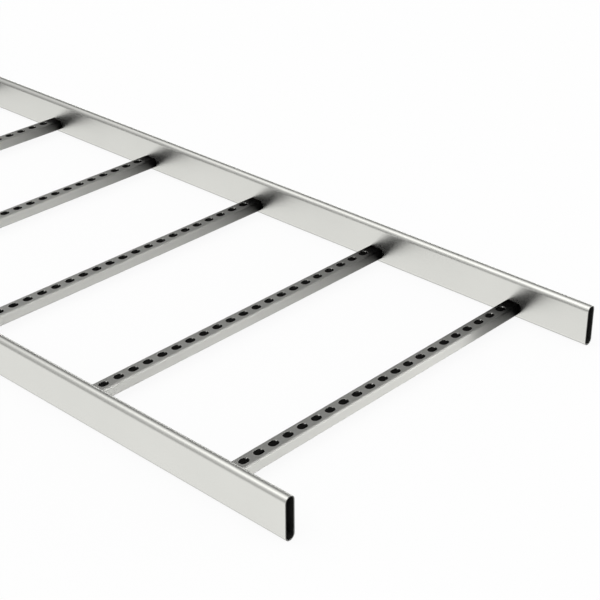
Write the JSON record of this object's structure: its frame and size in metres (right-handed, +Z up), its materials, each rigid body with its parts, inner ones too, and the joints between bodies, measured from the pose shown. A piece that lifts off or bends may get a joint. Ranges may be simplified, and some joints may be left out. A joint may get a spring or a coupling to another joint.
{
  "type": "cable ladder section",
  "caption": "Straight cable ladder section: hollow flat-oval side rails joined by slotted channel rungs, in satin zinc-coated steel.",
  "frame": {"origin": "centre of the section's length and width, at the level that the side rails stand on", "axes": "+X along the side rails towards the end that the picture shows, +Y across the ladder, +Z up, out of the cable bed"},
  "size_m": [3, 0.6, 0.06],
  "materials": {
    "rail_zinc": "smooth satin zinc coat on a flat-oval steel tube",
    "rung_zinc": "smooth satin zinc coat on roll-formed steel strip"
  },
  "bodies": {
    "root": {"side_rail_near": "rail_zinc", "side_rail_far": "rail_zinc", "rung_01": "rung_zinc", "rung_02": "rung_zinc", "rung_03": "rung_zinc", "rung_04": "rung_zinc", "rung_05": "rung_zinc", "rung_06": "rung_zinc", "rung_07": "rung_zinc", "rung_08": "rung_zinc", "rung_09": "rung_zinc", "rung_10": "rung_zinc", "rung_11": "rung_zinc", "rung_12": "rung_zinc"}
  },
  "joints": []
}
